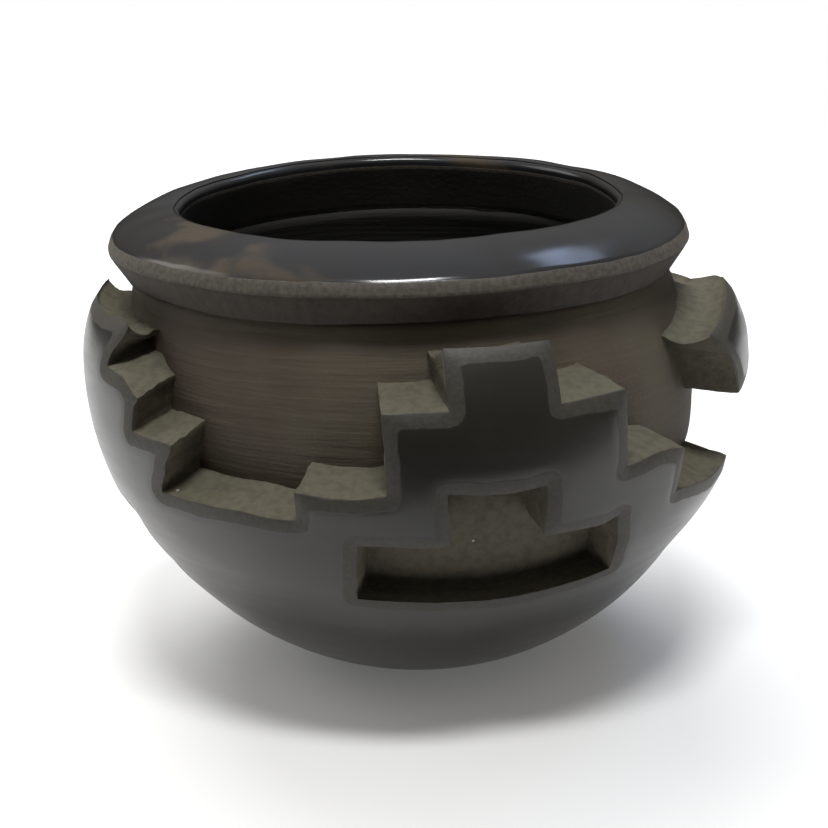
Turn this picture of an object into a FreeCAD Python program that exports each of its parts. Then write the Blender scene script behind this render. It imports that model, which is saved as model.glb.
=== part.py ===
import FreeCAD, Part
import math
import os
import Sketcher

# Thick-walled pot of black clay, built up wet: a base disc, a moulded bowl, a belly
# coil with stepped niches, three neck coils, a turned-out rim coil, and raised blocks
# with stepped sides round the neck. The right side is the others' negative: a stepped
# hollow in the belly coil, under a bar with a dip. Millimetres and degrees.
# The pot's axis is Z, its foot stands on Z = 0, and its front faces -Y.
# A direction round the pot is an angle from the front, growing towards +X.

SHEET = "Sizes"

SIZES = (
    ("foot_radius", 26.0, "flat foot, and the base disc"),
    ("floor_thickness", 12.0, "base disc"),
    ("belly_radius", 89.3, "burnished outside, at its widest"),
    ("belly_height", 81.0, "height of the widest place"),
    ("belly_arc", 66.0, "round of the belly, up and down"),
    ("bowl_height", 35.0, "joint of bowl and belly coil"),
    ("bowl_inset", 18.0, "how far that joint lies inside the widest place"),
    ("bowl_wall", 18.8, "width of that joint"),
    ("bowl_arc", 85.0, "round of the bowl, outside"),
    ("bowl_inner_arc", 82.0, "round of the bowl, inside"),
    ("flank_rise", 8.0, "straight flank above the bowl"),
    ("relief_depth", 14.0, "belly's widest place out from the recessed wall's"),
    ("neck_height", 80.0, "widest place of the recessed wall"),
    ("neck_arc", 80.0, "round of the recessed wall"),
    ("neck_wall", 7.5, "thickness of the recessed wall"),
    ("ledge_height", 64.4, "outer edge of the ledge"),
    ("low_ledge_drop", 5.9, "how much lower the ledge is on the right"),
    ("deep_ledge_drop", 13.5, "how much lower still it is in the middle of the right side"),
    ("deep_ledge_angle", 23.3, "half width of that deepest part"),
    ("tread_rise", 3.5, "how much a ledge or tread climbs inwards"),
    ("lower_riser", 8.0, "ledge to the lowest tread"),
    ("upper_riser", 18.6, "lowest tread to the next"),
    ("top_riser", 13.8, "that tread to the top of a block"),
    ("block_top_dip", 3.0, "how much a block's top falls towards the neck"),
    ("rim_gap", 2.9, "bare wall from a block's top up to the rim"),
    ("lip_rise", 7.0, "corner of the lip, above the rim's joint"),
    ("lip_overhang", 1.4, "that corner, out from the wall's widest place"),
    ("lip_band_height", 3.5, "matt band above the corner"),
    ("lip_band_lean", 1.0, "how far the band leans in"),
    ("rim_width", 19.3, "corner of the lip to the opening"),
    ("rim_height", 16.6, "edge of the opening, above the rim's joint"),
    ("rim_top_arc", 26.0, "round of the rim's top"),
    ("mouth_round", 1.6, "round of the opening's edge"),
    ("front_angle", 13.3, "middle of the front block"),
    ("lower_step_angle", 33.0, "half width of the lowest step"),
    ("upper_step_angle", 19.0, "half width of the step above"),
    ("top_step_angle", 8.5, "half width of the top step"),
    ("left_lower_riser", 13.6, "left block: ledge to the lowest tread"),
    ("left_upper_riser", 13.0, "left block: lowest tread to the next"),
    ("left_upper_step_angle", 26.0, "left block: half width of the middle step"),
    ("left_top_step_angle", 18.5, "left block: half width of the top step"),
    ("bar_height", 26.8, "right-hand bar, from the top of the blocks down"),
    ("bar_gap_angle", 14.7, "from the bar round to the lowest step beside it"),
    ("bar_dip", 8.0, "how far the middle of the bar's top is cut down"),
    ("bar_dip_angle", 13.0, "half width of that cut"),
    ("niche_cover", 6.4, "ledge down to where a niche narrows"),
    ("niche_height", 17.0, "wide part of a niche"),
    ("niche_head_height", 13.0, "narrow part of a niche"),
    ("niche_angle", 22.5, "half width of a niche"),
    ("niche_head_angle", 7.6, "half width of its narrow part"),
    ("left_niche_turn", 8.0, "left niche, round from the middle of its block"),
    ("left_niche_drop", 7.0, "left niche, below the others"),
)
NECK_COIL_PLACES = ("lower", "middle", "upper")

QUARTER_TURN = 90.0
HALF_TURN = 180.0
FULL_TURN = 360.0


class Size:
    """A length or angle that carries its number and the sheet expression behind it."""

    def __init__(self, number, text):
        self.number = number
        self.text = text

    def __add__(self, other):
        return Size(self.number + other.number, f"({self.text} + {other.text})")

    def __sub__(self, other):
        return Size(self.number - other.number, f"({self.text} - {other.text})")

    def times(self, factor):
        return Size(self.number * factor, f"({self.text} * {factor})")


class Round:
    """A circle in the pot's section, by its centre's radius and height, and its radius."""

    def __init__(self, centre_radius, centre_height, radius):
        self.centre_radius = centre_radius
        self.centre_height = centre_height
        self.radius = radius

    def at(self, height):
        """The section's radius where the circle passes a height."""
        rise = height.number - self.centre_height.number
        return self.centre_radius.number + math.sqrt(self.radius.number ** 2 - rise ** 2)


class Bulge:
    """An arc of a given radius from one corner to the next, hollow side to the axis."""

    def __init__(self, radius):
        self.radius = radius


doc = FreeCAD.newDocument("BlackClayPot")
sheet = doc.addObject("Spreadsheet::Sheet", SHEET)
size = {}
for row, (alias, number, meaning) in enumerate(SIZES, start=1):
    sheet.set(f"A{row}", meaning)
    sheet.set(f"B{row}", str(number))
    sheet.setAlias(f"B{row}", alias)
    size[alias] = Size(number, f"{SHEET}.{alias}")
doc.recompute()


def origin_plane(body, role):
    for feature in body.Origin.OriginFeatures:
        if feature.Role == role:
            return feature
    raise ValueError(role)


def new_body(label, direction=None):
    """A body whose own +X points in a direction round the pot."""
    body = doc.addObject("PartDesign::Body", label)
    body.Label = label
    if direction is not None:
        turn = direction.number - QUARTER_TURN
        axis = FreeCAD.Vector(0, 0, 1)
        body.Placement = FreeCAD.Placement(FreeCAD.Vector(), FreeCAD.Rotation(axis, turn))
        body.setExpression("Placement.Rotation.Angle", f"{direction.text} - {QUARTER_TURN}")
    return body


def bulge_centre(start, end, radius):
    """Centre of the arc from one point up to the next that bulges away from the axis."""
    chord = end - start
    middle = (start + end) * 0.5
    reach = math.sqrt(radius ** 2 - (chord.Length / 2) ** 2)
    inwards = FreeCAD.Vector(-chord.y, chord.x, 0).normalize()
    if inwards.x > 0:
        inwards = inwards * -1
    return middle + inwards * reach


def corner_point(radius, height):
    """Where a corner starts out: a radius may be a size or the circle it lies on."""
    reach = radius.at(height) if isinstance(radius, Round) else radius.number
    return FreeCAD.Vector(reach, height.number, 0)


def arc_of(edge, start, end):
    """The arc from one point to another, and which of its ends is which."""
    if isinstance(edge, Round):
        centre = FreeCAD.Vector(edge.centre_radius.number, edge.centre_height.number, 0)
    else:
        low, high = sorted((start, end), key=lambda point: point.y)
        centre = bulge_centre(low, high, edge.radius.number)
    circle = Part.Circle(centre, FreeCAD.Vector(0, 0, 1), edge.radius.number)
    first = math.atan2(start.y - centre.y, start.x - centre.x)
    last = math.atan2(end.y - centre.y, end.x - centre.x)
    ends = (1, 2) if first < last else (2, 1)
    return Part.ArcOfCircle(circle, min(first, last), max(first, last)), ends


def hold_size(sketch, kind, place, length):
    """A constraint of one kind whose value is read from the sheet."""
    constraint = Sketcher.Constraint(kind, *place, length.number)
    index = sketch.addConstraint(constraint)
    sketch.setExpression(f"Constraints[{index}]", length.text)


def hold_round(sketch, index, edge):
    """Give an arc or circle its radius, and a Round its centre too."""
    hold_size(sketch, "Radius", (index,), edge.radius)
    if isinstance(edge, Round):
        hold_size(sketch, "DistanceX", (-1, 1, index, 3), edge.centre_radius)
        hold_size(sketch, "DistanceY", (-1, 1, index, 3), edge.centre_height)


def hold_corner(sketch, point, corner, own_edges):
    """Hold a corner at its height, and at its radius or on its Round."""
    radius, height = corner
    if height is GROUND:
        sketch.addConstraint(Sketcher.Constraint("PointOnObject", *point, -1))
    else:
        hold_size(sketch, "DistanceY", (-1, 1, *point), height)
    if not isinstance(radius, Round):
        hold_size(sketch, "DistanceX", (-1, 1, *point), radius)
    elif radius not in own_edges:
        centre = FreeCAD.Vector(radius.centre_radius.number, radius.centre_height.number, 0)
        circle = Part.Circle(centre, FreeCAD.Vector(0, 0, 1), radius.radius.number)
        guide = sketch.addGeometry(circle, True)
        hold_round(sketch, guide, radius)
        sketch.addConstraint(Sketcher.Constraint("PointOnObject", *point, guide))


def section(body, name, corners, edges, direction=None):
    """A closed section, as a sketch of corners joined by lines and arcs.

    It stands in the body's XZ plane, or is turned from there to a direction round the pot.
    Each corner is a (radius, height) pair, whose radius may be the Round it lies on.
    Each edge runs from its own corner to the next: None for a line, a Round or a Bulge.
    """
    sketch = body.newObject("Sketcher::SketchObject", name)
    sketch.AttachmentSupport = (origin_plane(body, "XZ_Plane"), [""])
    sketch.MapMode = "FlatFace"
    if direction is not None:
        turn = FreeCAD.Rotation(FreeCAD.Vector(0, 1, 0), direction.number - QUARTER_TURN)
        sketch.AttachmentOffset = FreeCAD.Placement(FreeCAD.Vector(), turn)
        angle = f"{direction.text} - {QUARTER_TURN}"
        sketch.setExpression("AttachmentOffset.Rotation.Angle", angle)
    points = [corner_point(radius, height) for radius, height in corners]
    count = len(corners)
    ends = []
    for index, edge in enumerate(edges):
        start = points[index]
        end = points[(index + 1) % count]
        if edge is None:
            sketch.addGeometry(Part.LineSegment(start, end))
            ends.append((1, 2))
        else:
            arc, arc_ends = arc_of(edge, start, end)
            sketch.addGeometry(arc)
            ends.append(arc_ends)
    for index, edge in enumerate(edges):
        following = (index + 1) % count
        joint = (index, ends[index][1], following, ends[following][0])
        sketch.addConstraint(Sketcher.Constraint("Coincident", *joint))
        if edge is not None:
            hold_round(sketch, index, edge)
    for index, corner in enumerate(corners):
        own_edges = (edges[index], edges[index - 1])
        hold_corner(sketch, (index, ends[index][0]), corner, own_edges)
    return sketch


def turn_section(body, kind, name, sketch, sweep=None):
    """Revolve or groove a section about the pot's axis, by a full turn or a sweep
    that is centred on the section."""
    feature = body.newObject(f"PartDesign::{kind}", name)
    feature.Profile = sketch
    feature.ReferenceAxis = (sketch, ["V_Axis"])
    if sweep is None:
        feature.Angle = FULL_TURN
    else:
        feature.Midplane = True
        feature.Angle = sweep.number
        feature.setExpression("Angle", sweep.text)
    return feature


GROUND = Size(0.0, "0")
quarter_turn = Size(QUARTER_TURN, str(QUARTER_TURN))
half_turn = Size(HALF_TURN, str(HALF_TURN))

# Directions of the other blocks and of the bar.
left_direction = size["front_angle"] - quarter_turn
right_direction = size["front_angle"] + quarter_turn
back_direction = size["front_angle"] + half_turn

# The three curves that the pieces share.
neck_radius = size["belly_radius"] - size["relief_depth"]
outside = Round(size["belly_radius"] - size["belly_arc"], size["belly_height"], size["belly_arc"])
wall = Round(neck_radius - size["neck_arc"], size["neck_height"], size["neck_arc"])
inside = Round(wall.centre_radius, wall.centre_height, wall.radius - size["neck_wall"])

# The heights that the pieces share, from the ledge up.
ledge_inner_height = size["ledge_height"] + size["tread_rise"]
block_top = size["ledge_height"] + size["lower_riser"] + size["upper_riser"] + size["top_riser"]
rim_base = block_top + size["rim_gap"]
niche_step = size["ledge_height"] - size["niche_cover"]

flank_height = size["bowl_height"] + size["flank_rise"]
bowl_radius = size["belly_radius"] - size["bowl_inset"]
bowl_inner_radius = bowl_radius - size["bowl_wall"]
lower_flank = (bowl_radius, size["bowl_height"])
clear_radius = size["belly_radius"] + size["relief_depth"]


def base_disc():
    """The flat pat of clay under everything."""
    body = new_body("base_disc")
    sketch = body.newObject("Sketcher::SketchObject", "BaseCircle")
    sketch.AttachmentSupport = (origin_plane(body, "XY_Plane"), [""])
    sketch.MapMode = "FlatFace"
    centre = FreeCAD.Vector()
    upwards = FreeCAD.Vector(0, 0, 1)
    sketch.addGeometry(Part.Circle(centre, upwards, size["foot_radius"].number))
    sketch.addConstraint(Sketcher.Constraint("Coincident", 0, 3, -1, 1))
    hold_size(sketch, "Radius", (0,), size["foot_radius"])
    pad = body.newObject("PartDesign::Pad", "BasePad")
    pad.Profile = sketch
    pad.setExpression("Length", size["floor_thickness"].text)
    return body


def moulded_bowl():
    """The thick lower bowl, as a ring round the base disc."""
    body = new_body("moulded_bowl")
    corners = (
        (size["foot_radius"], GROUND),
        lower_flank,
        (bowl_inner_radius, size["bowl_height"]),
        (size["foot_radius"], size["floor_thickness"]),
    )
    edges = (Bulge(size["bowl_arc"]), None, Bulge(size["bowl_inner_arc"]), None)
    sketch = section(body, "BowlSection", corners, edges)
    turn_section(body, "Revolution", "BowlRing", sketch)
    return body


def cut_niche(body, name, low, high, half_angle, direction=None):
    """Cut from clear of the outside back to the recessed wall's curve."""
    corners = ((clear_radius, low), (clear_radius, high), (wall, high), (wall, low))
    sketch = section(body, f"{name}Section", corners, (None, None, wall, None), direction)
    turn_section(body, "Groove", name, sketch, half_angle.times(2))


def belly_coil():
    """The belly ring: ledge on top, stepped down on the right, a niche under each block."""
    body = new_body("belly_coil")
    corners = (
        lower_flank,
        (outside, flank_height),
        (outside, size["ledge_height"]),
        (wall, ledge_inner_height),
        (inside, ledge_inner_height),
        (inside, flank_height),
        (bowl_inner_radius, size["bowl_height"]),
    )
    edges = (None, outside, None, None, inside, None, None)
    sketch = section(body, "BellySection", corners, edges)
    turn_section(body, "Revolution", "BellyRing", sketch)
    low_ledge = size["ledge_height"] - size["low_ledge_drop"]
    corners = (
        (outside, low_ledge),
        (clear_radius, low_ledge),
        (clear_radius, ledge_inner_height),
        (wall, ledge_inner_height),
        (wall, low_ledge + size["tread_rise"]),
    )
    edges = (None, None, None, wall, None)
    low = section(body, "LowLedgeSection", corners, edges, right_direction)
    gap = half_turn - size["lower_step_angle"].times(2)
    turn_section(body, "Groove", "LowLedge", low, gap)
    deep_ledge = low_ledge - size["deep_ledge_drop"]
    deep_top = low_ledge + size["tread_rise"]
    cut_niche(body, "DeepLedge", deep_ledge, deep_top, size["deep_ledge_angle"], right_direction)
    niches = (
        ("Front", size["front_angle"], niche_step),
        ("Left", left_direction - size["left_niche_turn"], niche_step - size["left_niche_drop"]),
        ("Back", back_direction, niche_step),
    )
    for side, direction, step in niches:
        sill = step - size["niche_height"]
        head = step + size["niche_head_height"]
        cut_niche(body, f"{side}Niche", sill, step, size["niche_angle"], direction)
        cut_niche(body, f"{side}NicheHead", step, head, size["niche_head_angle"], direction)
    return body


def neck_coil(label, index):
    """One of the coils that the recessed wall is built up from."""
    body = new_body(label)
    coil_height = (rim_base - ledge_inner_height).times(1 / len(NECK_COIL_PLACES))
    low = ledge_inner_height + coil_height.times(index)
    high = low + coil_height
    corners = ((wall, low), (wall, high), (inside, high), (inside, low))
    sketch = section(body, f"NeckSection{index}", corners, (wall, None, inside, None))
    turn_section(body, "Revolution", f"NeckRing{index}", sketch)
    return body


def rim_coil():
    """The heavy lip: underside, matt band, crowned top, rounded edge of the mouth."""
    body = new_body("rim_coil")
    lip_radius = neck_radius + size["lip_overhang"]
    lip_height = rim_base + size["lip_rise"]
    mouth = (lip_radius - size["rim_width"], rim_base + size["rim_height"])
    corners = (
        (wall, rim_base),
        (lip_radius, lip_height),
        (lip_radius - size["lip_band_lean"], lip_height + size["lip_band_height"]),
        mouth,
        (inside, rim_base),
    )
    edges = (None, None, Bulge(size["rim_top_arc"]), None, None)
    sketch = section(body, "RimSection", corners, edges)
    ring = turn_section(body, "Revolution", "RimRing", sketch)
    doc.recompute()
    edge = body.newObject("PartDesign::Fillet", "MouthRound")
    edge.Base = (ring, [edge_at(ring.Shape, *mouth)])
    edge.setExpression("Radius", size["mouth_round"].text)
    return body


def edge_at(shape, radius, height):
    """Name of the shape's round edge at a radius and height."""
    place = FreeCAD.Vector(radius.number, 0, height.number)
    vertex = Part.Vertex(place)
    distances = [edge.distToShape(vertex)[0] for edge in shape.Edges]
    rounds = [isinstance(edge.Curve, Part.Circle) for edge in shape.Edges]
    best = min(range(len(distances)), key=lambda index: (not rounds[index], distances[index]))
    return f"Edge{best + 1}"


def step_block(body, name, low, high, half_angle):
    """One step of a block, from the recessed wall's curve to the burnished outside.

    Its bottom and its top are each a pair of heights, at the outside and at the wall.
    """
    corners = ((outside, low[0]), (outside, high[0]), (wall, high[1]), (wall, low[1]))
    sketch = section(body, f"{name}Section", corners, (outside, None, wall, None))
    return turn_section(body, "Revolution", name, sketch, half_angle.times(2))


def step_pyramid(label, direction, lower_riser, upper_riser, upper_angle, top_angle):
    """A raised block of three steps on the ledge, whose tops all end at one height."""
    body = new_body(label, direction)
    lower_tread = size["ledge_height"] + lower_riser
    upper_tread = lower_tread + upper_riser
    ledge = (size["ledge_height"], ledge_inner_height)
    lower = (lower_tread, lower_tread + size["tread_rise"])
    upper = (upper_tread, upper_tread + size["tread_rise"])
    top = (block_top, block_top - size["block_top_dip"])
    step_block(body, "LowerStep", ledge, lower, size["lower_step_angle"])
    step_block(body, "UpperStep", lower, upper, upper_angle)
    step_block(body, "TopStep", upper, top, top_angle)
    return body


def niched_pyramid(label, direction):
    """The front or back block, with the head of the niche below cut into it."""
    risers = (size["lower_riser"], size["upper_riser"])
    angles = (size["upper_step_angle"], size["top_step_angle"])
    body = step_pyramid(label, direction, *risers, *angles)
    head = niche_step + size["niche_head_height"]
    cut_niche(body, "NicheHead", niche_step, head, size["niche_head_angle"])
    return body


def left_pyramid():
    """The left block, whose middle and top steps are wider and whose niche stays below it."""
    risers = (size["left_lower_riser"], size["left_upper_riser"])
    angles = (size["left_upper_step_angle"], size["left_top_step_angle"])
    return step_pyramid("left_step_pyramid", left_direction, *risers, *angles)


def raised_bar():
    """The bar on the right, free of the ledge below it and cut down in the middle."""
    body = new_body("right_raised_bar", right_direction)
    bottom = block_top - size["bar_height"]
    top = (block_top, block_top - size["block_top_dip"])
    half_angle = quarter_turn - size["lower_step_angle"] - size["bar_gap_angle"]
    step_block(body, "Bar", (bottom, bottom), top, half_angle)
    cut_niche(body, "BarDip", block_top - size["bar_dip"], rim_base, size["bar_dip_angle"])
    return body


bodies = [
    base_disc(),
    moulded_bowl(),
    belly_coil(),
    *[neck_coil(f"neck_coil_{place}", index) for index, place in enumerate(NECK_COIL_PLACES)],
    rim_coil(),
    niched_pyramid("front_step_pyramid", size["front_angle"]),
    left_pyramid(),
    niched_pyramid("back_step_pyramid", back_direction),
    raised_bar(),
]
doc.recompute()

for thing in doc.Objects:
    if "Invalid" in thing.State or "Error" in thing.State:
        raise RuntimeError(f"{thing.Name}: {thing.State}")
for body in bodies:
    if body.Shape.isNull() or not body.Shape.isValid():
        raise RuntimeError(f"{body.Label}: bad shape")
    for feature in body.Group:
        if feature.isDerivedFrom("PartDesign::Groove"):
            removed = feature.BaseFeature.Shape.Volume - feature.Shape.Volume
            if removed < 1.0:
                raise RuntimeError(f"{feature.Name} cuts nothing")

os.makedirs("parts", exist_ok=True)
for body in bodies:
    body.Shape.exportStep(f"parts/{body.Label}.step")
    box = body.Shape.BoundBox
    print(f"{body.Label}: {body.Shape.Volume:.0f} mm3, {len(body.Shape.Solids)} solid,"
          f" {box.XLength:.1f} x {box.YLength:.1f} x {box.ZLength:.1f}")
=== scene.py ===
"""Black clay pot with stepped frets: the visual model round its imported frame.

The carved pieces are skins cut out of ruled lines that the hand then nudges, and the neck and
rim are coils turned round the axis. Lengths are millimetres in the classes, except in Studio,
and metres in the meshes. A direction round the pot is an azimuth from the front, -Y, towards +X.
"""

import logging
import math
from dataclasses import dataclass
from enum import Enum
from typing import Any

import bmesh
import bpy
import numpy as np
from mathutils import Euler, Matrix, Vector
from mathutils.kdtree import KDTree


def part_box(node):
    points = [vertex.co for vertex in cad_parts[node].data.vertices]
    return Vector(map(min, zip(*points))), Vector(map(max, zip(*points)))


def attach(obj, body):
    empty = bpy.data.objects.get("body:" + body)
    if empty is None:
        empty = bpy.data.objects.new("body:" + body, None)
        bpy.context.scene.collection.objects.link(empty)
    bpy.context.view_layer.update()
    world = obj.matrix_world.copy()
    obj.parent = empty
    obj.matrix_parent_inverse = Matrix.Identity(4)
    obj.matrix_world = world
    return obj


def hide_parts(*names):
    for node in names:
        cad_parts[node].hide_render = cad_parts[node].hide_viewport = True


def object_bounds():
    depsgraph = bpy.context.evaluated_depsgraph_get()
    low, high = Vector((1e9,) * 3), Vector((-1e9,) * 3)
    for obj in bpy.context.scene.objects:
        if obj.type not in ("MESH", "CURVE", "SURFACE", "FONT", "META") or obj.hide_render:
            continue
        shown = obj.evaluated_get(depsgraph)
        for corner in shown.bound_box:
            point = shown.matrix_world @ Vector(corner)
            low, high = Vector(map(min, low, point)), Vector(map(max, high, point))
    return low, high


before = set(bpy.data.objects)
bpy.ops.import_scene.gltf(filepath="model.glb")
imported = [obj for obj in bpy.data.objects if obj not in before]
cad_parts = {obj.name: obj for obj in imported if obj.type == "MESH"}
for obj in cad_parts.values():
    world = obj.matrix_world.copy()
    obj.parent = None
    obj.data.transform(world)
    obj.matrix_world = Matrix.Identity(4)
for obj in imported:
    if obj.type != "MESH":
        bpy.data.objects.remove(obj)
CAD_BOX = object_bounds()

LOG = logging.getLogger("clay_pot")

MM = 0.001
TAU = 2.0 * math.pi
ROOT = "root"
EDGE = "edge_mm"

# What edge_mm says off the burnished faces, where it is no distance from an edge.
INSIDE_EDGE = -30.0
SCRAPED_EDGE = -5.0
UNDERSIDE_EDGE = -6.0
BAND_EDGE = 0.2
DEEPEST_CUT_EDGE = -14.0

# Cuts are ruled at these depths: 0 outside, 1 at the recessed wall, and a root past it.
DEPTH_LINES = (0.0, 0.08, 0.19, 0.31, 0.44, 0.57, 0.70, 0.83, 0.94, 1.15)

# The hand's tremor: how far in millimetres or degrees, its wave in millimetres, its seed.
LINE_RISE = ((0.35, 26.0, 3), (0.12, 9.0, 4))
LINE_TURN = ((0.25, 22.0, 5),)
FACE_SWELL = ((0.30, 48.0, 6),)
CUT_RISE = ((0.30, 7.0, 7), (0.18, 3.2, 8))
CUT_TURN = ((0.22, 6.0, 9),)

# Mix nodes take their factor at 0, numbers at 2 and 3, and colours at 6 and 7.
ADD = {"operation": "ADD"}
SUBTRACT = {"operation": "SUBTRACT"}
MULTIPLY = {"operation": "MULTIPLY"}
SCALE = {"operation": "SCALE"}
SOFT_STEP = {"interpolation_type": "SMOOTHSTEP"}
COLOURS = {"data_type": "RGBA"}
NUMBERS = {"data_type": "FLOAT"}
VECTORS = {"data_type": "FLOAT_VECTOR"}
NOISE = ("Vector", "Scale", "Detail")
# Painted shade: inside the pot, where edge_mm is -26 or less, the clay takes its near-black hollow
# colour.
INSIDE_SHADE_RAMP = {1: -26.0, 2: -20.0, 3: 1.0, 4: 0.0}


class Slot(Enum):
    """The record's material slots."""

    BURNISHED = "burnished_black_clay"
    SCRAPED = "scraped_black_clay"


# ---------------------------------------------------------------- nodes and meshes


def linear(hex_colour: str) -> tuple[float, float, float, float]:
    """Turns an sRGB hex colour to linear.

    Args:
        hex_colour: six hex digits.

    Returns:
        Red, green, blue and an alpha of one.
    """
    channels = [int(hex_colour[place : place + 2], 16) / 255 for place in (0, 2, 4)]
    toned = [c / 12.92 if c <= 0.04045 else ((c + 0.055) / 1.055) ** 2.4 for c in channels]
    return (*toned, 1.0)


def add_node(
    tree: bpy.types.NodeTree,
    kind: str,
    settings: dict[str, Any] | None = None,
    inputs: dict[Any, Any] | None = None,
) -> bpy.types.Node:
    """Adds a node, with its settings and its links.

    Args:
        tree: the node tree that takes it.
        kind: the node's type.
        settings: the node's properties by name.
        inputs: by the input's name or place, a value, or the output or node that feeds it.

    Returns:
        The node.
    """
    node = tree.nodes.new(kind)
    for name, value in (settings or {}).items():
        setattr(node, name, value)
    for place, value in (inputs or {}).items():
        if isinstance(value, bpy.types.Node):
            value = value.outputs[0]
        if isinstance(value, bpy.types.NodeSocket):
            tree.links.new(value, node.inputs[place])
        else:
            node.inputs[place].default_value = value
    return node


def mesh_object(name: str, points: np.ndarray, faces: list[list[int]]) -> bpy.types.Object:
    """Makes a mesh object at the origin.

    Args:
        name: the piece's name.
        points: rows of x, y, z in millimetres.
        faces: corner numbers of each face, outward.

    Returns:
        The object, linked to the scene.
    """
    mesh = bpy.data.meshes.new(name)
    mesh.from_pydata((points * MM).tolist(), [], faces)
    mesh.update()
    piece = bpy.data.objects.new(name, mesh)
    bpy.context.scene.collection.objects.link(piece)
    return piece


def store(piece: bpy.types.Object, name: str, values: np.ndarray) -> None:
    """Stores one number for each vertex of a piece."""
    layer = piece.data.attributes.new(name, "FLOAT", "POINT")
    layer.data.foreach_set("value", values.astype(np.float32))


def settle(piece: bpy.types.Object) -> bpy.types.Object:
    """Turns a piece's evaluated modifiers into its plain mesh.

    Args:
        piece: a mesh object whose modifiers are live.

    Returns:
        The same object with the finished mesh and no modifiers.
    """
    bpy.context.view_layer.update()
    graph = bpy.context.evaluated_depsgraph_get()
    evaluated = piece.evaluated_get(graph)
    mesh = bpy.data.meshes.new_from_object(
        evaluated, preserve_all_data_layers=True, depsgraph=graph
    )
    piece.modifiers.clear()
    piece.data = mesh
    mesh.name = piece.name
    return piece


def ripple(points: np.ndarray, wavelength: float, seed: int) -> np.ndarray:
    """A smooth random field, mostly between -1 and 1, that closes round the pot.

    Args:
        points: rows of x, y, z in millimetres.
        wavelength: the field's usual wave, in millimetres.
        seed: picks the field.

    Returns:
        One number for each point.
    """
    waves = 9
    random = np.random.default_rng(seed)
    ways = random.normal(size=(waves, 3))
    ways /= np.linalg.norm(ways, axis=1)[:, None]
    ways *= (TAU / wavelength) * random.uniform(0.6, 1.5, size=(waves, 1))
    phases = random.uniform(0, TAU, waves)
    return np.sin(points @ ways.T + phases).sum(axis=1) / math.sqrt(waves * 2.0)


def tremor(points: np.ndarray, waves: tuple[tuple[float, float, int], ...]) -> np.ndarray:
    """How far the waves of one tremor push each point, together."""
    return sum(amount * ripple(points, wavelength, seed) for amount, wavelength, seed in waves)


def hand_over(piece: bpy.types.Object, slot: Slot, *nodes: str) -> None:
    """Puts a finished piece on the pot's body, in place of the CAD nodes it stands for."""
    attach(piece, ROOT)
    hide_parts(*nodes)
    triangles = sum(len(face.vertices) - 2 for face in piece.data.polygons)
    LOG.info("%s: %d triangles, for %s", piece.name, triangles, nodes)


# ---------------------------------------------------------------- the pot's curves


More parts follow.
